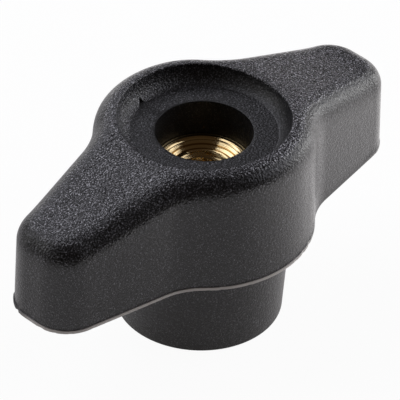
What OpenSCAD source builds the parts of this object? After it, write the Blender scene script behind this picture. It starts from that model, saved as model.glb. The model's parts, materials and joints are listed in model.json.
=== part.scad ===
// Wing knob: a moulded plastic grip with two wings, moulded round a tapped brass insert.
//
// Frame: millimetres, +Z up. The origin is the middle of the seat face, which is the flat end of
// the boss that presses on the work. The thread axis is the Z axis and the wings lie along X.

/* [Overall] */
// Length over the two wing tips
knob_len = 60; // [50:1:75]
// Height of the top of the hub above the seat face
knob_h = 29.65; // [24:0.05:40]
// Height of the flat underside of the wings above the seat face
wing_base_z = 13.25; // [8:0.25:15]

/* [Wings] */
// Width between a wing's two sides, measured at its tip
wing_tip_w = 10.75; // [10.4:0.05:13]
// Radius of a wing tip's corners, seen from above
tip_corner_r = 5.1; // [4.4:0.1:5.4]
// Angle by which each side turns outwards on its way to the hub, in degrees
wing_flare = 10.5; // [6:0.5:13]
// Radius of the hollow corner between a wing's side and the hub
web_r = 8.6; // [5:0.1:12]
// Fall of the top from the hub to the wing tips
wing_drop = 4.1; // [1:0.05:5.5]
// Half length of the level middle of the top
level_half = 5; // [2:0.25:8]
// Distance from the axis at which the top reaches its full slope
slope_from = 13.9; // [10:0.1:17]
// Distance from the axis at which the top starts to level out again
slope_to = 22.5; // [17.5:0.1:27]

/* [Hub] */
// Diameter of the hub at the underside of the wings
hub_d = 29.1; // [28.5:0.1:33]
// Radius of the rounding along the whole top edge
edge_r = 3.05; // [2:0.05:3.3]
// Draft of the sides, which lean inwards towards the top, in degrees
side_draft = 1.5; // [0.5:0.1:3]
// Width of the lip that the mould's joint leaves along the bottom edge
lip_w = 0.16; // [0.05:0.01:0.3]
// Height of that lip
lip_h = 0.3; // [0.15:0.05:0.6]

/* [Boss] */
// Diameter of the boss at the seat face
boss_d = 21.7; // [19:0.1:24]
// Draft of the boss, which widens towards the wings, in degrees
boss_draft = 3; // [1:0.1:5]
// Radius of the boss's bottom edge
boss_edge_r = 0.3; // [0.2:0.05:1]

/* [Cap seat] */
// Width of the hub's rim round the cap seat, from the hub's side to the seat's edge
rim_w = 3.5; // [3.4:0.05:4]
// Distance by which the seat's wall curves in from its edge to its flat floor
seat_run = 1.65; // [1.2:0.05:1.8]
// Depth of the cap seat below the top of the hub
seat_depth = 2.5; // [1.8:0.1:3.5]
// Distance that the pry notch reaches into the seat's wall, past the floor's edge
notch_reach = 0.85; // [0.5:0.05:1.2]
// Width of the pry notch
notch_w = 1.5; // [1:0.1:2.5]
// Height of the pry notch above the floor
notch_h = 0.9; // [0.5:0.05:1.4]
// Direction of the notch's steep side, in degrees from +X
notch_angle = 98; // [0:1:359]

/* [Bore and insert] */
// Diameter of the open bore between the cap seat and the insert
bore_d = 12.5; // [11:0.1:15]
// Depth of that bore
bore_depth = 5; // [3:0.25:8]
// Nominal diameter of the thread
thread_d = 8; // [5:1:10]
// Pitch of the thread
thread_pitch = 1.25; // [0.8:0.05:1.5]
// How much wider than the thread the countersink at each of its ends is
countersink_over = 1.5; // [0.5:0.1:2]
// Width of the plastic ledge over the insert's top face, between the bore and the insert's rim
ledge_w = 0.45; // [0.2:0.05:1]
// Height of the plain collar at each end of the insert
collar_h = 1.6; // [1:0.1:3]
// Height of the roots of the insert's teeth over its collars
teeth_root_rise = 0.1; // [0.05:0.05:0.3]
// Depth of the teeth, which stop the insert from turning
teeth_depth = 0.4; // [0.3:0.05:0.7]
// Number of teeth round the insert
teeth_n = 24; // [12:1:36]
// Depth below the collars of the groove that stops the insert from pulling out
groove_depth = 0.5; // [0.2:0.05:0.8]
// Width of that groove
groove_w = 3; // [2:0.1:5]

/* [Hidden] */

$fn = 96;
body_color = "#26272b";
brass_color = "#b8924a";
// Overlap that keeps a cut clear of the face it opens through
cut = 1;

// Steps along the tip corner, the straight side, the hollow corner and the hub, in one quarter
tip_steps = 8;
side_steps = 4;
web_steps = 7;
hub_steps = 8;
// Steps round the top edge's rounding
edge_steps = 8;

seat_floor_z = knob_h - seat_depth;
insert_h = seat_floor_z - bore_depth;

// ---- Outline of the grip, seen from above ----
// Every arc keeps its centre when the outline is moved inwards by d: the outward arcs get smaller
// and the hollow one gets larger. So all the outlines are parallel curves with matching points.

half_len = knob_len / 2;
hub_r = hub_d / 2;
// Outward normal of the side line, and the line's distance from the axis
side_n = [sin(wing_flare), cos(wing_flare)];
side_c = side_n.x * half_len + side_n.y * wing_tip_w / 2;
// Centre of the tip corner
tip_cx = half_len - tip_corner_r;
tip_c = [tip_cx, (side_c - tip_corner_r - side_n.x * tip_cx) / side_n.y];
// Centre of the hollow corner: web_r outside the side line and outside the hub's circle
web_off = side_c + web_r;
web_along = sqrt((hub_r + web_r) ^ 2 - web_off ^ 2);
web_c = web_off * side_n + web_along * [side_n.y, -side_n.x];
web_dir = atan2(web_c.y, web_c.x);
side_dir = 90 - wing_flare;

// Points of the arc round c, of radius r, from angle a0 to angle a1 in n steps
function arc(c, r, a0, a1, n) =
    [for (i = [0:n]) let (a = a0 + (a1 - a0) * i / n) c + r * [cos(a), sin(a)]];

// Points that divide the line from p to q into n steps, without p and q
function line_between(p, q, n) = [for (i = [1:n - 1]) p + (q - p) * i / n];

// One quarter of the outline, moved inwards by d, from the tip on +X round to the hub on +Y
function quarter(d) =
    let (
        tip = arc(tip_c, tip_corner_r - d, 0, side_dir, tip_steps),
        web = arc(web_c, web_r + d, side_dir + 180, web_dir + 180, web_steps),
        hub = arc([0, 0], hub_r - d, web_dir, 90, hub_steps)
    )
    concat(tip, line_between(tip[tip_steps], web[0], side_steps), web, [for (i = [1:hub_steps]) hub[i]]);

// The whole outline: the quarter and its mirror images, with no point given twice
function outline(d) =
    let (
        q = quarter(d),
        last = len(q) - 1,
        upper = concat(q, [for (i = [last - 1:-1:0]) [-q[i].x, q[i].y]])
    )
    concat(upper, [for (i = [len(upper) - 1:-1:0]) [upper[i].x, -upper[i].y]]);

// ---- Height of the top ----
// Its slope is nil over the hub, grows evenly to slope_from, holds to slope_to, and falls back to
// nil at the tips. full_slope makes the fall over all three stretches come to wing_drop.

full_slope = wing_drop / ((slope_from - level_half) / 2 + slope_to - slope_from + (half_len - slope_to) / 2);

// The part of the stretch from one place to the other that lies below x
function part_of(x, from, to) = min(max(x, from), to) - from;

// Height of the top at a distance x from the thread axis, along the wings
function top_z(x) =
    let (
        bend = part_of(abs(x), level_half, slope_from),
        run = part_of(abs(x), slope_from, slope_to),
        ease = part_of(abs(x), slope_to, half_len)
    )
    knob_h - full_slope * (
        bend ^ 2 / (2 * (slope_from - level_half)) + run + ease - ease ^ 2 / (2 * (half_len - slope_to))
    );

// ---- Grip: a loft through parallel outlines ----

outer = outline(0);
outer_n = len(outer);
// Unit vectors that point inwards, square to the outline
inward = let (in1 = outline(1)) [for (i = [0:outer_n - 1]) in1[i] - outer[i]];

// Inset of the side where the top rounding starts, above the outline's point i
function side_inset(i) =
    lip_w + tan(side_draft) * (top_z(outer[i].x) - edge_r - wing_base_z - lip_h);

// The outline's point i, moved inwards and up to height z
function ring_point(i, inset, z) = let (p = outer[i] + inset * inward[i]) [p.x, p.y, z];

// Point of the rounding at angle a, which runs from 0 on the side to 90 on the top
function edge_point(i, a) =
    let (p = outer[i] + (side_inset(i) + edge_r * (1 - cos(a))) * inward[i])
    [p.x, p.y, top_z(p.x) - edge_r * (1 - sin(a))];

grip_rings = concat(
    [
        [for (i = [0:outer_n - 1]) ring_point(i, 0, wing_base_z)],
        [for (i = [0:outer_n - 1]) ring_point(i, 0, wing_base_z + lip_h / 2)],
        [for (i = [0:outer_n - 1]) ring_point(i, lip_w, wing_base_z + lip_h)]
    ],
    [for (k = [0:edge_steps]) [for (i = [0:outer_n - 1]) edge_point(i, 90 * k / edge_steps)]]
);

module grip() {
    rings_n = len(grip_rings);
    points = [for (ring = grip_rings) each ring];
    top_start = (rings_n - 1) * outer_n;
    // The top ring's points that share an x, on the +Y and the -Y side, pair up across the wings
    upper_n = outer_n / 2;
    side_faces = [
        for (k = [0:rings_n - 2], i = [0:outer_n - 1])
            let (
                j = (i + 1) % outer_n,
                a = k * outer_n + i,
                b = k * outer_n + j,
                c = a + outer_n,
                d = b + outer_n
            )
            each [[a, c, d], [a, d, b]]
    ];
    top_faces = [
        for (i = [0:upper_n - 2])
            let (
                a = top_start + i,
                b = top_start + i + 1,
                c = top_start + outer_n - 1 - i,
                d = top_start + outer_n - 2 - i
            )
            each [[a, d, b], [a, c, d]]
    ];
    polyhedron(points = points, faces = concat([[for (i = [0:outer_n - 1]) i]], side_faces, top_faces));
}

// ---- Boss ----

boss_r = boss_d / 2;
boss_top_r = boss_r + wing_base_z * tan(boss_draft);
// The boss runs on a little way inside the grip, so that the two are one solid
boss_root = 1;

module boss() {
    round_c = [boss_r - boss_edge_r, boss_edge_r];
    rotate_extrude() {
        polygon([
            [0, 0],
            [round_c.x, 0],
            for (a = [-75:15:-boss_draft]) round_c + boss_edge_r * [cos(a), sin(a)],
            [boss_top_r, wing_base_z],
            [boss_top_r, wing_base_z + boss_root],
            [0, wing_base_z + boss_root]
        ]);
    }
}

// ---- Cap seat: a round dish whose wall starts upright at the rim and curves in to the floor ----

seat_rim_r = hub_r - rim_w;
seat_floor_r = seat_rim_r - seat_run;
// Radius of the wall's arc, which leaves the rim upright and meets the floor seat_run further in
seat_wall_r = (seat_run ^ 2 + seat_depth ^ 2) / (2 * seat_run);

module cap_seat() {
    translate([0, 0, seat_floor_z]) rotate_extrude() {
        square([seat_floor_r, seat_depth + cut]);
        intersection() {
            translate([seat_rim_r - seat_wall_r, seat_depth]) circle(r = seat_wall_r);
            square([seat_rim_r, seat_depth]);
        }
        translate([0, seat_depth]) square([seat_rim_r, cut]);
    }
}

// Notch for prying the cap out: it is deepest at its steep side and runs out along the seat's wall
module pry_notch() {
    rotate([0, 0, notch_angle]) translate([0, 0, seat_floor_z])
        linear_extrude(notch_h) polygon([
            [seat_floor_r - notch_reach, 0],
            [seat_floor_r + notch_reach, 0],
            [seat_floor_r - notch_reach / 4, notch_w],
            [seat_floor_r - notch_reach, notch_w]
        ]);
}

// ---- Insert ----

// The hole is as wide as the drill for the thread: its diameter less one pitch
tapped_d = thread_d - thread_pitch;
countersink_d = thread_d + countersink_over;
countersink_h = (countersink_d - tapped_d) / 2;
collar_d = bore_d + 2 * ledge_w;
groove_d = collar_d - 2 * groove_depth;
teeth_h = (insert_h - 2 * collar_h - groove_w) / 2;

module teeth_band() {
    root_r = collar_d / 2 + teeth_root_rise;
    tip_r = root_r + teeth_depth;
    linear_extrude(teeth_h) polygon([
        for (i = [0:teeth_n - 1], s = [0, 1])
            let (a = 360 * (i + s / 2) / teeth_n, r = s == 0 ? tip_r : root_r)
            r * [cos(a), sin(a)]
    ]);
}

// Outside of the insert, which is also the hollow that the plastic keeps for it
module insert_blank() {
    cylinder(d = collar_d, h = collar_h);
    translate([0, 0, collar_h]) teeth_band();
    translate([0, 0, collar_h + teeth_h]) cylinder(d = groove_d, h = groove_w);
    translate([0, 0, collar_h + teeth_h + groove_w]) teeth_band();
    translate([0, 0, insert_h - collar_h]) cylinder(d = collar_d, h = collar_h);
}

module tapped_hole() {
    translate([0, 0, -cut]) cylinder(d = tapped_d, h = insert_h + 2 * cut);
    cylinder(d1 = countersink_d, d2 = tapped_d, h = countersink_h);
    translate([0, 0, insert_h - countersink_h]) cylinder(d1 = tapped_d, d2 = countersink_d, h = countersink_h);
}

// ---- Pieces ----

module knob_body() {
    color(body_color) difference() {
        union() {
            grip();
            boss();
        }
        cap_seat();
        pry_notch();
        translate([0, 0, insert_h]) cylinder(d = bore_d, h = bore_depth + cut);
        insert_blank();
    }
}

module threaded_insert() {
    color(brass_color) difference() {
        insert_blank();
        tapped_hole();
    }
}

knob_body();
threaded_insert();
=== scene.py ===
# %% [markdown]
# # A wing knob with a brass insert
#
# Such a knob clamps a bench jig: fingers turn its two wings, and a threaded brass insert in its
# middle runs along a stud. It is two pieces. The insert is turned and tapped first, and then black
# glass-filled nylon is moulded round it. So this lesson makes two meshes, and each is one closed
# surface that is worked out with numpy on a grid: points along one way, rings along the other.
#
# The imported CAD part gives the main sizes. Every new mesh stays inside its box.

import json

import bpy
import numpy as np
from mathutils import Matrix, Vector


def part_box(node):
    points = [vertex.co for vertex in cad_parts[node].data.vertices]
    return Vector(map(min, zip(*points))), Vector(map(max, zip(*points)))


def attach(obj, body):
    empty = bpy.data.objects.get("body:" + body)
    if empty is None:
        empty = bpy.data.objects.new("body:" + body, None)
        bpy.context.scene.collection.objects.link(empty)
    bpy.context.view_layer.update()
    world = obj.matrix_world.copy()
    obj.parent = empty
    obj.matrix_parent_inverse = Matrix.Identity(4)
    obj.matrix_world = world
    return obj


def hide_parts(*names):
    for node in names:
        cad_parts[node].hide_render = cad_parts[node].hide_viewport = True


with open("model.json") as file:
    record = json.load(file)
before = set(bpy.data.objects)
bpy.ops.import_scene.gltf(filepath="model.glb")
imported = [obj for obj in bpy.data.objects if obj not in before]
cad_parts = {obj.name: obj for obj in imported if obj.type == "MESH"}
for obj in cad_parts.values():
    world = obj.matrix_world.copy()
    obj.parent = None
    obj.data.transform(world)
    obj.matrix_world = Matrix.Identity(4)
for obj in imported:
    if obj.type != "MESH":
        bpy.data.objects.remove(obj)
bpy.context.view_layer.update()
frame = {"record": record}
mm = 0.001  # a millimetre in metres

# %% Sizes that the part states
half_len, hub_r, knob_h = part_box("knob_body")[1]
insert_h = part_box("threaded_insert")[1].z
mounts = {m["name"]: m for m in frame["record"]["mounts"]}
drill_r = mounts["thread"]["dims"]["r_mm"] * mm
bore_r = mounts["cap_bore"]["dims"]["r_mm"] * mm
floor_z = insert_h + mounts["cap_bore"]["dims"]["length_mm"] * mm
print(f"knob {2 * half_len / mm:.1f} mm long and {knob_h / mm:.2f} mm high")
print(f"hub {2 * hub_r / mm:.1f} mm across")

# %% [markdown]
# ## The outline of the grip
#
# Seen from above, one quarter of the grip is drawn with five simple pieces: the flat of the wing
# tip, its round corner, the straight side, the hollow corner and the hub's circle. Each piece
# meets the next without a kink. Arcs and lines keep that promise exactly, where a curve drawn
# freehand would leave bumps that a shiny plastic shows at once. Each point also keeps the direction
# that points inwards, because the draft, the lip and the rounding are all steps in that direction.

# %% Sizes of the outline
wing_tip_w = 10.75 * mm
tip_corner_r = 5.1 * mm
wing_flare = np.radians(10.5)
web_r = 8.6 * mm  # the hollow corner between a wing and the hub

side_out = np.array([np.sin(wing_flare), np.cos(wing_flare)])
side_along = np.array([np.cos(wing_flare), -np.sin(wing_flare)])
side_off = side_out @ [half_len, wing_tip_w / 2]
tip_x = half_len - tip_corner_r
tip_centre = np.array([tip_x, (side_off - tip_corner_r - side_out[0] * tip_x) / side_out[1]])
web_off = side_off + web_r
web_centre = web_off * side_out + np.sqrt((hub_r + web_r) ** 2 - web_off**2) * side_along
web_turn = np.arctan2(web_centre[1], web_centre[0])
print(f"the hollow corner meets the hub {np.degrees(web_turn):.1f} degrees from the wing's middle")


# %% One quarter of the outline, then the whole of it
fine_points = 400  # in the fine table, on each arc and on the straight side
flat_points = 40  # on half of the flat of the wing tip
hair = 1e-9  # added to the quarter turn, so that its end is a mark as well


def arc(centre, radius, start, end, inward=-1):
    """Points of an arc, centre + radius * (cos a, sin a), and their inward directions: -1 points to
    the centre, and +1 points away from it, as on the hollow corner."""
    a = np.linspace(start, end, fine_points)
    spoke = np.column_stack([np.cos(a), np.sin(a)])
    return np.hstack([centre + radius * spoke, inward * spoke])


def outline_columns(mark_step, spacing, fewest):
    """Points round the whole outline, as rows of x, y and the inward direction.

    A fine table of the quarter is read at chosen distances along it. The directions from the axis
    that are whole multiples of mark_step always get a point, and between two of them the points are
    evenly spaced. The other three quarters are mirror images."""
    tip = arc(tip_centre, tip_corner_r, 0, np.pi / 2 - wing_flare)
    web = arc(web_centre, web_r, 1.5 * np.pi - wing_flare, np.pi + web_turn, inward=1)
    hub = arc([0, 0], hub_r, web_turn, np.pi / 2)
    flat = np.linspace([half_len, 0, -1, 0], tip[0], flat_points)
    side = np.linspace(tip[-1], web[0], fine_points)
    fine = np.vstack([flat[:-1], tip, side[1:-1], web, hub[1:]])
    far = np.concatenate([[0], np.cumsum(np.hypot(*np.diff(fine[:, :2], axis=0).T))])
    turn = np.arctan2(fine[:, 1], fine[:, 0])
    marks = np.interp(np.arange(0, np.pi / 2 + hair, mark_step), turn, far)
    runs = [
        np.linspace(a, b, max(fewest, int(np.ceil((b - a) / spacing))), endpoint=False)
        for a, b in zip(marks[:-1], marks[1:])
    ]
    at = np.concatenate(runs + [marks[-1:]])
    quarter = np.column_stack([np.interp(at, far, column) for column in fine.T])
    half = np.vstack([quarter, (quarter * [-1, 1, -1, 1])[-2::-1]])
    return np.vstack([half, (half * [1, -1, 1, -1])[-2:0:-1]])


tooth_step = np.radians(7.5)  # half a tooth, as the insert has 24 teeth
columns = outline_columns(mark_step=tooth_step, spacing=0.27 * mm, fewest=8)
edge_xy, inward = columns[:, :2], columns[:, 2:]
turn = np.unwrap(np.arctan2(edge_xy[:, 1], edge_xy[:, 0]))
print(f"{len(columns)} points round the outline")

# %% [markdown]
# ## The height of the top
#
# The top is level over the hub and falls towards the wing tips, where it levels out again under the
# thumb. Its slope grows evenly, holds, and falls back to nothing, so the height is a sum of three
# stretches whose total is the fall. It depends on the distance along the wings alone.

# %% Height of the top along the wings
wing_drop = 4.1 * mm
# From the middle outwards: where the slope begins, where it is full, and where it begins to ease.
level_half, slope_from, slope_to = 5 * mm, 13.9 * mm, 22.5 * mm
full_slope = wing_drop / (
    (slope_from - level_half) / 2 + slope_to - slope_from + (half_len - slope_to) / 2
)


def top_z(x):
    """Height of the top: the hub's height, less the slope added up from the level middle to x."""
    bend = np.clip(np.abs(x), level_half, slope_from) - level_half
    run = np.clip(np.abs(x), slope_from, slope_to) - slope_from
    ease = np.clip(np.abs(x), slope_to, half_len) - slope_to
    grown = bend**2 / (2 * (slope_from - level_half))
    eased = ease**2 / (2 * (half_len - slope_to))
    return knob_h - full_slope * (grown + run + ease - eased)


print(f"the top of a wing tip is {top_z(half_len) / mm:.2f} mm up")

# %% [markdown]
# ## Rings of the grip
#
# Going up the outside of the grip, each ring of points is the outline moved inwards by some
# distance and lifted to some height. First comes the lip that the joint of the mould leaves, then
# the side, which leans in by the draft so that the part leaves the mould, then the rounding, and
# then the top, which closes in on the rim of the cap seat. An extruded outline with a Bevel
# modifier would be quicker, but its rounding can't shrink where the rim comes close to the side, as
# it does here.

# %% Sizes of the sides, and one ring
# Two sizes here differ from the CAD solid: its wings begin 0.2 mm higher, and its lip is 0.3 mm
# high. Both changes stay inside its box.
wing_base_z = 13.05 * mm
lip_w, lip_h = 0.16 * mm, 0.48 * mm
lip_round = 0.08 * mm
lip_upright_h = 0.9 * lip_h  # above this the lip slopes in to the wall
edge_r = 3.05 * mm
side_draft = np.radians(1.5)
rim_w = 3.5 * mm
rim_round = 0.14 * mm
rim_gap = 0.03 * mm  # least width left of the top, where the rim comes close to the side


def ring(inset, height):
    """The outline moved inwards by inset and put at a height, each one number or one per point."""
    inset = np.broadcast_to(inset, turn.shape)
    xy = edge_xy + inset[:, None] * inward
    return np.column_stack([xy, np.broadcast_to(height, turn.shape)])


def blend_rings(first, last, count):
    """count rings in even steps from first to last, with last but without first."""
    share = np.linspace(0, 1, count + 1)[1:, None, None]
    return first + share * (last - first)


# %% [markdown]
# ### The lip and its flash
#
# Where the two halves of a mould meet, a thin fin of plastic can creep out between them, and it
# breaks off in small nicks. On one side of the knob the wall comes out as far as the lip and hides
# it, as happens when the halves are a little out of line. At one wing tip the nicks are deeper, and
# the plastic there is dark. A Displace modifier with a noise could tear an edge as well, but it
# would also shift the rings above the lip. So the tear and the step are numbers for each point of
# the outline, and only the rings that need them use them.

# %% The lip with its flash
nicks_round = (20, 90)  # how many waves there may be round the knob, from and to
whole_below = 0.6  # the summed waves leave the lip whole up to this height


def flash(seed, waves, depth):
    """Ragged edge of the flash: sine waves of random phase round the knob, summed, less whole_below
    and cut off at 0, so that most of the lip is whole and short stretches are nicked inwards by up
    to depth."""
    rng = np.random.default_rng(seed)
    counts, phases = rng.integers(*nicks_round, waves), rng.uniform(0, 2 * np.pi, waves)
    far = np.cumsum(np.hypot(*(edge_xy - np.roll(edge_xy, 1, 0)).T))
    far = 2 * np.pi * far / far[-1]
    ragged = np.sin(far[:, None] * counts + phases).sum(1) / np.sqrt(waves)
    return depth * np.clip(ragged - whole_below, 0, 1)


def stretch(middle, reach):
    """1 on a stretch of the outline round the direction middle, in degrees, and 0 elsewhere: one
    and a half times a parabola that is 0 at both ends, cut off at 1."""
    past = (np.degrees(turn % (2 * np.pi)) - middle) / reach
    return np.clip(1.5 * (1 - past**2), 0, 1)


flush, snapped = stretch(middle=325, reach=32), stretch(middle=166, reach=14)
nick_depth = (0.09 + 0.25 * snapped) * mm
deepest_nick = 0.9 * lip_w
nick = np.minimum(flash(seed=7, waves=9, depth=nick_depth), deepest_nick) * (1 - flush)
# Where the wall is flush, a twentieth of the step is left, so that no face there has no area.
lip_step = lip_w * (1 - 0.95 * flush)
lip_rings = [
    ring(nick + lip_round * (1 - np.cos(a)), wing_base_z + lip_round * (1 + np.sin(a)))
    for a in np.radians([-90, -75, -60, -45, -30, -15, 0])
]
lip_rings += [ring(nick, wing_base_z + lip_upright_h), ring(lip_step, wing_base_z + lip_h)]
torn, hidden = 100 * np.mean(nick > 0), 100 * np.mean(flush == 1)
print(f"{torn:.0f}% of the lip's points are nicked, and {hidden:.0f}% are flush with the wall")

# %% The side and the rounding
side_inset = lip_step + np.tan(side_draft) * (top_z(edge_xy[:, 0]) - edge_r - wing_base_z - lip_h)


def rounding(inset):
    """A ring on the rounding, found from its inset: going in by edge_r * (1 - cos a) goes up to
    edge_r * (1 - sin a) below the top."""
    cos_a = np.clip(1 - (inset - side_inset) / edge_r, 0, 1)
    x = edge_xy[:, 0] + inset * inward[:, 0]
    return ring(inset, top_z(x) - edge_r * (1 - np.sqrt(1 - cos_a**2)))


def reach_of_circle(radius):
    """How far each outline point has to move inwards to land on the circle of that radius round the
    axis, from the quadratic for a line and a circle. Points whose line misses it get infinity."""
    along = (edge_xy * inward).sum(1)
    root = along**2 - (edge_xy**2).sum(1) + radius**2
    return np.where(root > 0, -along - np.sqrt(np.maximum(root, 0)), np.inf)


rim_r = hub_r - rim_w
round_end = np.minimum(side_inset + edge_r, reach_of_circle(rim_r + rim_round + rim_gap))
angle_end = np.arccos(1 - (round_end - side_inset) / edge_r)
side_rings = blend_rings(lip_rings[-1], rounding(side_inset), count=8)
round_count = 14
round_rings = [
    rounding(side_inset + edge_r * (1 - np.cos(angle_end * share)))
    for share in np.linspace(0, 1, round_count + 1)[1:]
]
print(f"{len(side_rings) + len(round_rings)} rings on the side and the rounding")

# %% [markdown]
# ## The cap seat, the bore and the hollow for the insert
#
# The middle of the hub is a round dish that a cover cap snaps into. Its wall leaves the rim upright
# and curves in to a flat floor. At one place a notch for prying the cap out runs in under the wall.
# Below the floor the bore goes down to the brass. These are circles round the axis, so a ring here
# only needs a radius and a height, and the radius may change with the direction. That one idea
# gives the notch and the insert's teeth without any cutting, where a Boolean modifier would leave
# long thin faces that shade badly.

# %% Sizes of the seat and rings round the axis
seat_run = 1.65 * mm
seat_depth = knob_h - floor_z
wall_r = (seat_run**2 + seat_depth**2) / (2 * seat_run)
seat_floor_r = rim_r - seat_run
notch_reach, notch_w, notch_angle = 0.85 * mm, 1.5 * mm, np.radians(98)
notch_slope = 1.25 * notch_reach / notch_w  # back at the floor's circle after 0.8 of the width
steep_half = 0.02  # half of the notch's steep side, in degrees


def circle(radius, height, angle=None):
    """Points at a radius and a height in the directions angle, which are those of the outline if
    none are given."""
    angle = turn if angle is None else angle
    radius, height = np.broadcast_to(radius, angle.shape), np.broadcast_to(height, angle.shape)
    return np.column_stack([radius * np.cos(angle), radius * np.sin(angle), height])


# %% The wall of the seat with its notch
seat_turn = turn.copy()
first = np.searchsorted(seat_turn, notch_angle)
seat_turn[first - 1 : first + 1] = notch_angle + np.radians([-steep_half, steep_half])


def notch_radius(angle):
    """Radius of the notch's outer side in each direction: the line from the steep side's far end
    back to the floor's circle, and nothing outside the notch."""
    past = angle - notch_angle
    line = (seat_floor_r + notch_reach) / (np.cos(past) + notch_slope * np.sin(past))
    return np.where((past >= 0) & (past < notch_w / seat_floor_r), line, 0)


def wall_ring(radius, height):
    """A ring of the seat's wall or floor, pushed out wherever the notch reaches further."""
    return circle(np.maximum(radius, notch_radius(seat_turn)), height, seat_turn)


def wall_radius(height):
    """Radius of the seat's wall at a height: an arc that is upright where the hub's top is."""
    return rim_r - wall_r + np.sqrt(wall_r**2 - (knob_h - height) ** 2)


rim_angle = np.interp(seat_turn, turn, angle_end)
rim_z = top_z(rim_r * np.cos(seat_turn)) - edge_r + edge_r * np.sin(rim_angle)
rim_wall = wall_radius(rim_z)
rim_rings = [
    circle(rim_wall + rim_round * (1 - np.cos(a)), rim_z - rim_round * (1 - np.sin(a)), seat_turn)
    for a in np.radians([90, 72, 54, 36, 18, 0])
]
wall_count = 22
share_down = np.linspace(0, 1, wall_count + 1)[1:]
wall_heights = [rim_z - rim_round + (floor_z + rim_round - rim_z) * s for s in share_down]
wall_rings = [wall_ring(wall_radius(h), h) for h in wall_heights]
floor_steps = np.array([0.04, 0.25, 0.6, 1.0, 1.5, 2.1, 2.7]) * mm
floor_rings = [wall_ring(seat_floor_r - step, floor_z) for step in floor_steps]
print(f"the wall curves in along an arc of {wall_r / mm:.2f} mm")

# %% The bore and the hollow that the insert fills
bore_round = 0.04 * mm
ledge_w = 0.45 * mm
collar_r = bore_r + ledge_w
collar_h, groove_w, groove_depth = 1.6 * mm, 3 * mm, 0.5 * mm
teeth_root_rise, teeth_depth = 0.1 * mm, 0.4 * mm
teeth_h = (insert_h - 2 * collar_h - groove_w) / 2


def tooth_radius(angle):
    """Radius of the insert's teeth: straight flanks from each tip to the roots beside it."""
    root_r = collar_r + teeth_root_rise
    tip_r = root_r + teeth_depth
    past = tooth_step - np.abs(angle % (2 * tooth_step) - tooth_step)
    across = tip_r * np.sin(past) + root_r * np.sin(tooth_step - past)
    return tip_r * root_r * np.sin(tooth_step) / across


def insert_outside(angle):
    """Rings up the outside of the insert: collar, teeth, groove, teeth and collar, from 0 up."""
    teeth = tooth_radius(angle)
    heights = np.cumsum([0, collar_h, 0, teeth_h, 0, groove_w, 0, teeth_h, 0, collar_h])
    groove_r = collar_r - groove_depth
    radii = [collar_r] * 2 + [teeth] * 2 + [groove_r] * 2 + [teeth] * 2 + [collar_r] * 2
    return [circle(r, z, angle) for r, z in zip(radii, heights)]


bore_rings = [
    circle(bore_r + bore_round * (1 - np.cos(a)), floor_z - bore_round * (1 - np.sin(a)))
    for a in np.radians([90, 65, 40, 20, 0])
]
bore_rings += [circle(bore_r, floor_z + (insert_h - floor_z) * s) for s in (0.08, 0.3, 0.6, 0.9, 1)]
print(f"{len(bore_rings)} rings in the bore")

# %% [markdown]
# ## The boss and the underside
#
# The boss is a plain drafted post with a small rounding at its foot, and the underside of the wings
# is flat, as the two halves of the mould part there. Its rings run from the insert's foot out
# along the seat face, up the boss, and out along the underside until they meet the lip.

# %% Rings from the seat face out to the lip
boss_r, boss_draft, boss_edge_r = 21.7 / 2 * mm, np.radians(3), 0.3 * mm
foot_r = boss_r - boss_edge_r
foot_rings = [circle(collar_r + (foot_r - collar_r) * s, 0) for s in (0.03, 0.35, 0.7, 1)]
foot_rings += [
    circle(foot_r + boss_edge_r * np.cos(a), boss_edge_r * (1 + np.sin(a)))
    for a in np.radians([-75, -60, -45, -30, -15, -3])
]
boss_top = circle(boss_r + wing_base_z * np.tan(boss_draft), wing_base_z)
boss_rings = blend_rings(foot_rings[-1], boss_top, count=12)
under_rings = blend_rings(boss_top, lip_rings[0], count=10)
print(f"the boss widens to {2 * np.hypot(*boss_top[0, :2]) / mm:.2f} mm under the wings")


# %% [markdown]
# ## From rings to a mesh
#
# All the rings of the body have the same number of points, so stacked they are a grid, and four
# neighbours make a face. The grid closes on itself both ways: round the knob, and from the last
# ring in the hollow back to the first one on the seat face. Such a surface has no poles and no open
# edge.

# %% Make a mesh from a closed grid of rings
def closed_grid(name, rings, sharp_deg=40, **marks):
    """A mesh object from stacked rings. Point (i, j) meets (i + 1, j) and (i, j + 1), counted round
    both ways, which makes the surface a ring-shaped one. Each of marks gives a number for each
    ring, or for each point, kept as an attribute that the material can read."""
    points = np.array(rings)
    rows, cols, _ = points.shape
    at = np.arange(rows * cols).reshape(rows, cols)
    beside, above = np.roll(at, -1, 1), np.roll(at, -1, 0)
    faces = np.stack([at, beside, np.roll(beside, -1, 0), above], -1).reshape(-1, 4)
    mesh = bpy.data.meshes.new(name)
    mesh.vertices.add(rows * cols)
    mesh.vertices.foreach_set("co", points.ravel().astype(np.float32))
    mesh.loops.add(faces.size)
    mesh.loops.foreach_set("vertex_index", faces.ravel().astype(np.int32))
    mesh.polygons.add(len(faces))
    mesh.polygons.foreach_set("loop_start", np.arange(0, faces.size, 4, dtype=np.int32))
    mesh.update(calc_edges=True)
    mesh.shade_smooth()
    mesh.set_sharp_from_angle(angle=np.radians(sharp_deg))
    for mark, values in marks.items():
        values = np.broadcast_to(np.asarray(values, float).reshape(rows, -1), (rows, cols))
        layer = mesh.attributes.new(mark, "FLOAT", "POINT")
        layer.data.foreach_set("value", values.ravel().astype(np.float32))
    made = bpy.data.objects.new(name, mesh)
    bpy.context.scene.collection.objects.link(made)
    # Half the cross product of a face's diagonals is its area, pointing outwards, and a third of
    # its dot product with a corner is the volume of the pyramid from the origin to the face.
    a, b, c, d = points.reshape(-1, 3)[faces].swapaxes(0, 1)
    volume = (a * np.cross(c - a, d - b)).sum() / 6
    print(f"{name}: {2 * len(faces)} triangles, about {volume / mm**3:.0f} mm3 inside")
    return made


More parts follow.
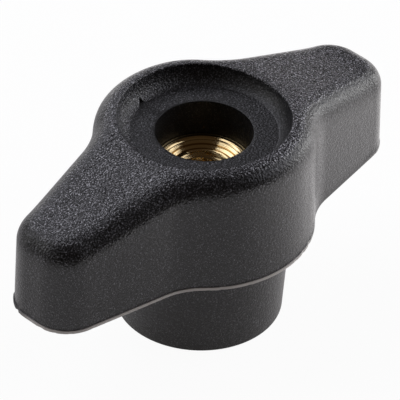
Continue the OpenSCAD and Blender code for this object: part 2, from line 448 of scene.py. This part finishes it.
# %% The top, which closes in on the rim
top_end = circle(rim_wall + rim_round, rim_z, seat_turn)
top_rings = blend_rings(round_rings[-1], top_end, count=18)
top_sink = round_rings[-1][:, 2] - top_z(round_rings[-1][:, 0])
for ring_points in top_rings[:-1]:
    ring_points[:, 2] = top_z(ring_points[:, 0]) + top_sink
print(f"{len(top_rings)} rings on the top")

# %% [markdown]
# ## The moulded body and its marks
#
# A mould isn't textured alike all over. The top has the coarsest grain. The sides have less,
# because a deep texture there would scrape the part as it leaves the mould, and the bore and the
# boss come from parts of a mould that are mostly just ground. The same number also sets how strong
# the pale specks are. Those specks are partly fibre and partly painted glints, so the top, where
# the light grazes, gets the most painted sparkle. The flash is torn plastic, so it is paler, and
# its pale colour is also a painted reflection of the white table. These differences could be
# painted by hand as vertex colours. Here each set of rings brings three numbers along, which the
# material reads as attributes: how strong the texture and the painted sparkle are (grain), how
# rough the skin is between the specks (rough), and how much of the surface is torn edge with a
# painted reflection (trim).

# %% The moulded body
hollow_rings = insert_outside(turn)[::-1]
# The grain isn't even round the knob either, and there it paints light. On the seat's wall it is
# strongest on the notch's side, which is the wall's lit side, so the extra pale specks there are
# painted light. On the rounding and the rim it is strongest on one side of the hub, where the key
# lamp glints, so the extra pale specks there are a painted sparkle.
lit_wall_side, sparkle_side = np.radians(122), np.radians(300)
near_lit_wall = np.clip(np.cos(seat_turn - lit_wall_side), 0, 1) ** 2
near_sparkle_side = np.clip(np.cos(turn - sparkle_side), 0, 1) ** 4
low_round = 9  # the lower rings of the rounding, which have less grain
# Each row has a set of rings, and then its grain and painted sparkle, its rough, and its share of
# torn edge with painted reflection.
parts_of_body = [
    (foot_rings, 0.4, 0.32, 0),
    (boss_rings, 0.5, 0.32, 0),
    (under_rings[:-1], 0.5, 0.32, 0),
    # The lip's pale colour is partly torn plastic and partly a painted reflection of the white
    # table.
    (lip_rings[:-1], 0.1, 0.32, (1 - flush) * (1 - snapped)),
    (lip_rings[-1:], 0.5, 0.32, 0),
    (side_rings[:-1], 0.5, 0.25, 0),
    (round_rings[:low_round], 0.55, 0.34, 0),
    # The term with the sparkle side adds painted sparkle on the hub's rounding and rim.
    (round_rings[low_round:], 0.85 + 0.4 * near_sparkle_side, 0.37, 0),
    (top_rings[:-1], 1.0, 0.4, 0),
    (rim_rings, 0.9 + 0.25 * near_sparkle_side, 0.4, 0),
    # The term with the lit wall adds painted light on the lit side of the seat's wall.
    (wall_rings, 0.42 + 0.42 * near_lit_wall, 0.42, 0),
    (floor_rings, 0.5, 0.46, 0),
    (bore_rings, 0.3, 0.46, 0),
    (hollow_rings, 0.0, 0.5, 0),
]
body_rings = [points for rings, *marks in parts_of_body for points in rings]
ring_marks = [
    [mark + 0 * turn for mark in marks] for rings, *marks in parts_of_body for points in rings
]
body_grain, body_rough, body_trim = np.swapaxes(ring_marks, 0, 1)
body = closed_grid("moulded_grip", body_rings, grain=body_grain, rough=body_rough, trim=body_trim)

# %% [markdown]
# ## The brass insert
#
# A lathe makes the insert: the bar is faced, drilled, countersunk and tapped. The thread is a
# groove that winds down the hole. A Screw modifier could sweep its profile, but then the groove has
# to be joined to the hole and to both countersinks. On a grid of rings a thread is simple: its
# radius depends on the height less the share of a turn already made, times the pitch. Where the
# countersink is wider than the thread, the countersink wins.

# %% The tapped hole
thread_r, pitch = 4 * mm, 1.25 * mm
sink_r = thread_r + 0.75 * mm  # outer edge of both countersinks
crest_share, root_share = 1 / 8, 1 / 4  # of the pitch, that the flat crest and root take


def thread_radius(angle, height):
    """Radius of a tapped wall: flat crests at the drill's radius, straight flanks, and flat roots
    at the thread's own radius, all moved up by one pitch for each turn."""
    phase = (height / pitch - angle / (2 * np.pi)) % 1
    flank = (1 - crest_share - root_share) / 2
    rise = np.abs(phase - 0.5) * 2
    share = np.clip((1 - rise - root_share) / (2 * flank), 0, 1)
    return drill_r + (thread_r - drill_r) * share


def hole_ring(angle, height):
    """A ring of the hole: the thread, or the countersink at either end where that is wider."""
    from_end = min(height, insert_h - height)
    return circle(np.maximum(thread_radius(angle, height), sink_r - from_end), height, angle)


print(f"M{2 * thread_r / mm:.0f} thread, {insert_h / pitch:.1f} turns over the whole height")

# %% [markdown]
# ### The turned mouth
#
# The insert's end is faced flat, and a shallow cone leads into the countersink, as the point of a
# large drill leaves it. Both keep rings from the tool. Those rings break a highlight into arcs, and
# they are what makes the brass look turned and not cast. Bump alone could draw them, but the larger
# ones are deep enough to show as shapes, so the profile's height has them and bump adds only the
# finest.

# %% The turned mouth with its tool rings
lead_r, lead_slope = 5.6 * mm, np.radians(31)
# Lathes mostly feed by 0.05 to 0.2 mm a turn. The coarse feed is drawn wider, so that it shows.
coarse_feed, coarse_depth = 0.37 * mm, 0.04 * mm
fine_feed, fine_depth = 0.14 * mm, 0.002 * mm
# The coarse grooves fade to a tenth over fade_w, as the radius falls to fade_r.
fade_r, fade_w, least_coarse = 5.4 * mm, 0.3 * mm, 0.1
dwell_r, dwell_w, dwell_depth = 5.2 * mm, 0.06 * mm, 0.02 * mm


def mouth_height(radius):
    """Height of the insert's top in profile: the flat face, inside it the shallow cone, and inside
    that the countersink. Each cone falls by the distance inwards times its slope."""
    drilled = (lead_r - radius) * np.tan(lead_slope)
    return insert_h - np.clip(np.maximum(drilled, sink_r - radius), 0, None)


def tool_marks(radius):
    """Depth of the turned grooves: a cosine of the radius with the coarse feed, which dies away on
    the cone, another with the fine feed, and a bell curve for one deeper groove, as a tool leaves
    where it dwells."""
    on_face = np.clip((radius - fade_r) / fade_w, least_coarse, 1)
    coarse = 0.5 + 0.5 * np.cos(2 * np.pi * radius / coarse_feed)
    fine = 0.5 + 0.5 * np.cos(2 * np.pi * radius / fine_feed)
    dwell = np.exp(-(((radius - dwell_r) / dwell_w) ** 2))
    return coarse_depth * on_face * coarse + fine_depth * fine + dwell_depth * dwell


insert_columns, mouth_count, hole_count = 192, 180, 190  # points round, and rings of each part
insert_turn = np.linspace(0, 2 * np.pi, insert_columns + 1)[:-1]
mouth_out, mouth_in = collar_r - 0.02 * mm, drill_r + 0.75 * mm
mouth_r = np.linspace(mouth_out, mouth_in, mouth_count)
mouth_rings = [circle(r, mouth_height(r) - tool_marks(r), insert_turn) for r in mouth_r]
hole_gap = 0.03 * mm  # from the last ring of the mouth down to the first of the hole
mouth_end = mouth_height(mouth_r[-1]) - hole_gap
print(f"the rings of the hole begin {(insert_h - mouth_end) / mm:.2f} mm down")

# %% The insert
outside = insert_outside(insert_turn)
hole_rings = [hole_ring(insert_turn, z) for z in np.linspace(mouth_end, 0, hole_count)]
insert_rings = outside + mouth_rings + hole_rings
# The outside is knurled and dull, the mouth is the smoothest, and the tapped hole is between them.
insert_rough = np.repeat([0.3, 0.12, 0.2], [len(outside), len(mouth_rings), len(hole_rings)])
insert = closed_grid("tapped_insert", insert_rings, sharp_deg=50, rough=insert_rough)

# %% [markdown]
# ## Materials
#
# Both finishes start from what the real ones are. Colours are written as the hex values of a paint
# chart and turned to the linear values that the renderer adds up. A pattern's scale is one over the
# size of its cell, so every scale below starts from millimetres. One small function adds a node: it
# takes the settings by name, and the sockets that it is linked to. The Mix node has several sockets
# of one name, so there the numbers 0, 6 and 7 stand for its factor and its two colours.


# %% Colour and node helpers
def linear(hex_colour):
    """An sRGB hex colour as linear red, green, blue and alpha."""
    srgb = np.array([int(hex_colour[i : i + 2], 16) for i in (1, 3, 5)]) / 255
    return (*np.where(srgb <= 0.04045, srgb / 12.92, ((srgb + 0.055) / 1.055) ** 2.4).tolist(), 1)


def add_node(tree, kind, settings=None, links=None):
    """Adds a node, sets its properties and unlinked inputs, and links its other inputs."""
    made = tree.nodes.new("ShaderNode" + kind)
    for name, value in (settings or {}).items():
        if isinstance(name, str) and hasattr(made, name):
            setattr(made, name, value)
        else:
            made.inputs[name].default_value = value
    for name, socket in (links or {}).items():
        tree.links.new(socket, made.inputs[name])
    return made


def new_material(name):
    """An empty material and its node tree."""
    made = bpy.data.materials.new(name)
    made.use_nodes = True
    made.node_tree.nodes.clear()
    return made, made.node_tree


print("a middle grey is", round(linear("#808080")[0], 3), "in linear light")

# %% [markdown]
# ### Black nylon
#
# Such grips are polyamide with about a third of short glass fibre, which makes it stiff. Their
# moulds are cut by sparks, and each spark leaves a tiny pit, so the plastic has a skin of fine
# bumps that looks matt and hides scratches. Fibre ends that lie just under the skin catch the light
# as pale specks. Here those specks are pale colour, partly the fibre itself and partly painted
# glints. The bumps are a smooth noise, fed into Bump. The specks are a finer noise of which only
# the peaks are kept, and they change the colour and the roughness together, as glass in plastic
# does. Image textures of real grain would repeat, and they would need the surface unwrapped.

# %% Black glass-filled nylon from a spark-eroded mould
# To the eye this is a soft grey-black with a broad dull highlight and a fine pale sparkle,
# strongest on the top, and the pale specks paint part of that sparkle into the colour. Nylon's IOR
# is 1.53. Such pits and fibre ends are mostly under 0.1 mm across, too fine to show, so they are
# drawn this wide:
grain_cell, speck_cell = 0.28 * mm, 0.17 * mm
bump_depth = 0.12 * mm
speck_low, speck_high, speck_power = 0.38, 0.74, 2.8  # only the peaks of the noise are specks
grain_power = 2.0  # specks fade faster than bumps where the grain is weak
speck_rough = 0.2  # roughness of a full speck
nylon, tree = new_material("black_glass_filled_nylon_spark_eroded")
place = add_node(tree, "TexCoord").outputs["Object"]
grain = add_node(tree, "Attribute", {"attribute_name": "grain"}).outputs["Fac"]
rough = add_node(tree, "Attribute", {"attribute_name": "rough"}).outputs["Fac"]
trim = add_node(tree, "Attribute", {"attribute_name": "trim"}).outputs["Fac"]
pits = add_node(tree, "TexNoise", {"Scale": 1 / grain_cell, "Detail": 0.0}, {"Vector": place})
finely = {"Scale": 1 / speck_cell, "Detail": 0.7, "Roughness": 0.6}
specks = add_node(tree, "TexNoise", finely, {"Vector": place})
peaks = {"From Min": speck_low, "From Max": speck_high}
speck = add_node(tree, "MapRange", peaks, {"Value": specks.outputs["Fac"]})
power, times = {"operation": "POWER"}, {"operation": "MULTIPLY"}
sharp = add_node(tree, "Math", {**power, 1: speck_power}, {0: speck.outputs["Result"]})
weight = add_node(tree, "Math", {**power, 1: grain_power}, {0: grain})
amount = add_node(tree, "Math", times, {0: sharp.outputs[0], 1: weight.outputs[0]})
depth = add_node(tree, "Math", times, {0: pits.outputs["Fac"], 1: grain})
pitted = {"Strength": 1.0, "Distance": bump_depth}
bump = add_node(tree, "Bump", pitted, {"Height": depth.outputs[0]})
# The specks' pale colour is partly glass fibre and partly painted glints, strongest where the grain
# and sparkle number is high, as on the top.
soot, glass_and_painted_glint, torn_nylon_and_table_reflection = linear("#060607"), linear("#e6e6ee"), linear("#dcd6d0")
tint = add_node(tree, "Mix", {"data_type": "RGBA", 6: soot, 7: glass_and_painted_glint}, {0: amount.outputs[0]})
# The lip's pale colour: torn plastic, and a painted reflection of the white table.
edge = add_node(tree, "Mix", {"data_type": "RGBA", 7: torn_nylon_and_table_reflection}, {0: trim, 6: tint.outputs[2]})
skin = {"Value": amount.outputs[0], "To Min": rough}
gloss = add_node(tree, "MapRange", {"To Max": speck_rough}, skin)
moulded = {
    "Base Color": edge.outputs[2],
    "Roughness": gloss.outputs["Result"],
    "Normal": bump.outputs["Normal"],
}
shader = add_node(tree, "BsdfPrincipled", {"IOR": 1.53, "Specular IOR Level": 0.5}, moulded)
add_node(tree, "OutputMaterial", links={"Surface": shader.outputs[0]})
body.data.materials.append(nylon)
print(nylon.name, "has", len(tree.nodes), "nodes")

# %% [markdown]
# ### Turned brass
#
# The insert is free-cutting brass, straight from the lathe and not polished. Its colour depends
# only on the distance from the axis, because everything a turning tool leaves goes round, so both
# patterns are noises of that distance: a fine one for the feed, as bump, and a wider one for brown
# rings, such as dried cutting oil leaves. The roughness differs between the turned mouth and the
# tapped hole, so it is an attribute. An anisotropic highlight could stand for the rings, but they
# are wide enough here to be seen one by one.

# %% Turned brass
# To the eye this is a warm, pale gold whose bright parts break into thin arcs round the hole, with
# brown between them. It is a metal, so its IOR stays as it is, and the base colour is its
# reflection. The finest feed is nearer 0.05 mm, and is drawn wider so that it shows.
feed_cell, feed_depth = 0.12 * mm, 0.012 * mm
oil_cell, oil_low, oil_high = 0.3 * mm, 0.5, 0.66  # clean below oil_low, and brown above oil_high
brass, tree = new_material("free_cutting_brass_turned")
place = add_node(tree, "TexCoord").outputs["Object"]
apart = add_node(tree, "SeparateXYZ", links={"Vector": place})
flat_place = add_node(tree, "CombineXYZ", links={"X": apart.outputs["X"], "Y": apart.outputs["Y"]})
radius = add_node(tree, "VectorMath", {"operation": "LENGTH"}, {0: flat_place.outputs[0]})
turned = {"W": radius.outputs["Value"]}
finest_feed = {"noise_dimensions": "1D", "Scale": 1 / feed_cell, "Detail": 2.0}
feed = add_node(tree, "TexNoise", finest_feed, turned)
grooved = {"Strength": 1.0, "Distance": feed_depth}
feed_bump = add_node(tree, "Bump", grooved, {"Height": feed.outputs["Fac"]})
rings_of_oil = {"noise_dimensions": "1D", "Scale": 1 / oil_cell, "Detail": 1.0}
oil = add_node(tree, "TexNoise", rings_of_oil, turned)
some_rings = {"From Min": oil_low, "From Max": oil_high}
oily = add_node(tree, "MapRange", some_rings, {"Value": oil.outputs["Fac"]})
two_golds = {"data_type": "RGBA", 6: linear("#f0d7a2"), 7: linear("#9a7238")}
colour = add_node(tree, "Mix", two_golds, {0: oily.outputs["Result"]})
rough = add_node(tree, "Attribute", {"attribute_name": "rough"}).outputs["Fac"]
lathed = {
    "Base Color": colour.outputs[2],
    "Roughness": rough,
    "Normal": feed_bump.outputs["Normal"],
}
shader = add_node(tree, "BsdfPrincipled", {"Metallic": 1}, lathed)
add_node(tree, "OutputMaterial", links={"Surface": shader.outputs[0]})
insert.data.materials.append(brass)
print(brass.name, "has", len(tree.nodes), "nodes")

# %% [markdown]
# ## Tie the pieces to the part
#
# Each piece moves with the part's only body and hides the plain CAD solid that it stands for.

# %% Ride and replace
for piece, cad_node, slot_name in (
    (body, "knob_body", "moulded_plastic"),
    (insert, "threaded_insert", "turned_brass"),
):
    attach(piece, "root")
    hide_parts(cad_node)
    print(piece.name, "stands for", cad_node, "in the slot", slot_name)

# %% [markdown]
# ## The studio
#
# Dark plastic and brass show less of their own colour than of what they mirror, so the room matters
# as much as the materials. The knob stands on a white table in a dim room, with soft boxes to its
# right, behind it and to its left, and none straight in front. The sides of the wings mirror the
# table, and the top and the brass mirror the boxes. The table shows white by its own colour where
# the camera sees it. In reflections it is a pool of light: dim under the knob, and brighter towards
# the key. An evenly lit room would be simpler, but then every side would look alike, and the shape
# would go flat.

# %% Floor
table_half, table_gap = 3, 1e-5  # metres; the small gap keeps the two surfaces from flickering
corner_signs = ((-1, -1), (1, -1), (1, 1), (-1, 1))
table_corners = [(x * table_half, y * table_half, -table_gap) for x, y in corner_signs]
floor_mesh = bpy.data.meshes.new("table")
floor_mesh.from_pydata(table_corners, [], [(0, 1, 2, 3)])
table = bpy.data.objects.new("table", floor_mesh)
bpy.context.scene.collection.objects.link(table)
print("the table is", 2 * table_half, "m across")

# %% White card for the table
# To the eye this is paper: white, with no gloss, so it takes the knob's soft shadow.
pool_azimuth = 78  # about where the key lamp is
glow_reach = 60 * mm  # the pool goes from dim to bright over this distance from the axis
pool_dim, pool_bright = 0.3, 1.08
white_level, white_share = 1.05, 0.9  # where the camera sees it, this share is this even white
paper, tree = new_material("white_card_uncoated")
ray = add_node(tree, "LightPath")
place = add_node(tree, "TexCoord").outputs["Object"]
to_key = np.radians(pool_azimuth)
slope = (np.sin(to_key) / glow_reach, -np.cos(to_key) / glow_reach, 0)
along = add_node(tree, "VectorMath", {"operation": "DOT_PRODUCT", 1: slope}, {0: place})
dim_to_bright = {"To Min": pool_dim, "To Max": pool_bright}
pool = add_node(tree, "MapRange", dim_to_bright, {"Value": along.outputs["Value"]})
in_gloss, in_glass = ray.outputs["Is Glossy Ray"], ray.outputs["Is Transmission Ray"]
mirrored = add_node(tree, "Math", {"operation": "MAXIMUM"}, {0: in_gloss, 1: in_glass})
glowing = {0: pool.outputs["Result"], 1: mirrored.outputs[0]}
strength = add_node(tree, "Math", {"operation": "MULTIPLY"}, glowing)
diffuse = add_node(tree, "BsdfDiffuse", {"Color": linear("#f2f2f2")})
glow = add_node(tree, "Emission", {"Color": linear("#fffbf9")}, {"Strength": strength.outputs[0]})
lit = add_node(tree, "AddShader", links={0: diffuse.outputs[0], 1: glow.outputs[0]})
white = add_node(tree, "Emission", {"Color": (1, 1, 1, 1), "Strength": white_level})
in_view = {0: ray.outputs["Is Camera Ray"]}
share = add_node(tree, "Math", {"operation": "MULTIPLY", 1: white_share}, in_view)
both = {0: share.outputs[0], 1: lit.outputs[0], 2: white.outputs[0]}
mixed = add_node(tree, "MixShader", links=both)
add_node(tree, "OutputMaterial", links={"Surface": mixed.outputs[0]})
floor_mesh.materials.append(paper)
print(paper.name, "has", len(tree.nodes), "nodes")

# %% World
room_level = 0.045  # what lights the knob; the camera sees white instead
world = bpy.data.worlds.new("studio")
world.use_nodes = True
tree = world.node_tree
tree.nodes.clear()
ray = add_node(tree, "LightPath")
seen = ray.outputs["Is Camera Ray"]
level = add_node(tree, "MapRange", {"To Min": room_level, "To Max": 1.0}, {"Value": seen})
warm_or_white = {"data_type": "RGBA", 6: linear("#d8b898"), 7: linear("#ffffff")}
room = add_node(tree, "Mix", warm_or_white, {0: seen})
lighting = {"Color": room.outputs[2], "Strength": level.outputs["Result"]}
sky = add_node(tree, "Background", links=lighting)
add_node(tree, "OutputWorld", links={"Surface": sky.outputs[0]})
bpy.context.scene.world = world
print(f"the room glows at {room_level} round the knob and shows as white behind it")

# %% [markdown]
# ### The camera
#
# A small part is best seen through a long lens from half a metre away: its far wing then isn't much
# smaller than its near one. The camera stands in a direction given by an azimuth and an elevation,
# is rolled by a couple of degrees, and aims a little below the middle of the rim. A Track To
# constraint would aim it too, but three unit vectors, written into its matrix, can also be rolled.

# %% Camera
def towards(azimuth, elevation):
    """The unit vector in a direction: azimuth 0 is the front, -Y, and 90 is the right, +X."""
    a, e = np.radians([azimuth, elevation])
    return np.array([np.sin(a) * np.cos(e), -np.cos(a) * np.cos(e), np.sin(e)])


view_azimuth, view_elevation, view_roll = -46.469, 38.072, np.radians(1.967)
view_distance, view_height = 0.52062, 27.231 * mm
left_shift, down_shift = 0.536 * mm, 8.759 * mm
back = towards(view_azimuth, view_elevation)
level_right = towards(view_azimuth + 90, 0)
level_up = np.cross(back, level_right)
right = np.cos(view_roll) * level_right + np.sin(view_roll) * level_up
up = -np.sin(view_roll) * level_right + np.cos(view_roll) * level_up
aim = np.array([0, 0, view_height]) - left_shift * right - down_shift * up
camera_data = bpy.data.cameras.new("camera")
camera_data.sensor_width = 36
camera_data.lens = 372.6
camera_data.clip_start, camera_data.clip_end = 0.01, 20
camera = bpy.data.objects.new("camera", camera_data)
matrix = np.eye(4)
matrix[:3] = np.column_stack([right, up, back, aim + view_distance * back])
camera.matrix_world = Matrix(matrix)
bpy.context.scene.collection.objects.link(camera)
bpy.context.scene.camera = camera
print(f"the camera is {view_distance / mm:.0f} mm from its aim, its lens {camera_data.lens:.0f} mm")

# %% [markdown]
# ### The lamps
#
# A soft box is a lamp behind white cloth, and an Area lamp is the same thing. Each one is there for
# a face that mirrors it. The key and the low key rake over the right side. The boxes behind light
# the tops of the wings and the far rim. The two high ones, at the right and at the left, are the
# two bright bands in the brass. Those behind and high up are a little blue, like daylight.


# %% Lamps
lamp_distance, lamp_aim_z = 0.8, 0.02  # metres; the lamps point at the hub, at this height


def lamp(name, azimuth, elevation, size, radiance, colour="#ffffff"):
    """A soft box at lamp_distance from the hub, in a direction given as the camera's is. Its power
    is its area in square metres times pi times the radiance, so a radiance of 1 shows as white in a
    mirror."""
    out = towards(azimuth, elevation)
    data = bpy.data.lights.new(name, "AREA")
    data.shape, data.size, data.size_y = "RECTANGLE", *size
    data.energy, data.color = np.pi * size[0] * size[1] * radiance, linear(colour)[:3]
    made = bpy.data.objects.new(name, data)
    side = np.cross([0, 0, 1], out)
    side /= np.linalg.norm(side)
    matrix = np.eye(4)
    at = lamp_distance * out + [0, 0, lamp_aim_z]
    matrix[:3] = np.column_stack([side, np.cross(out, side), out, at])
    made.matrix_world = Matrix(matrix)
    bpy.context.scene.collection.objects.link(made)
    print(f"{name}: {data.energy:.2f} W")


daylight = "#f3f4ff"
lamp("key", 72, 12, (0.5, 0.45), 2.4)
lamp("low_key", 76, 4, (0.3, 0.12), 3.2)
lamp("right_high", 49, 36, (0.56, 0.46), 1.3, daylight)
lamp("right_back", 89, 34, (0.4, 0.4), 1.1, daylight)
lamp("back", 154, 38, (0.3, 0.3), 2.8, daylight)
lamp("left_back", 166, 20, (0.35, 0.65), 0.35, daylight)
lamp("left_low", 166, 5, (0.35, 0.25), 0.8)
lamp("left_tall", 200, 52, (0.3, 0.6), 1.9, daylight)
lamp("left", 216, 25, (0.4, 0.6), 1.0)
lamp("left_front", 254, 25, (0.4, 0.6), 0.25)

# %% [markdown]
# ## Finish
#
# The Standard view shows each colour as it is written. The visual model has to stay inside the CAD
# part's box.

# %% View settings
bpy.context.scene.view_settings.view_transform = "Standard"
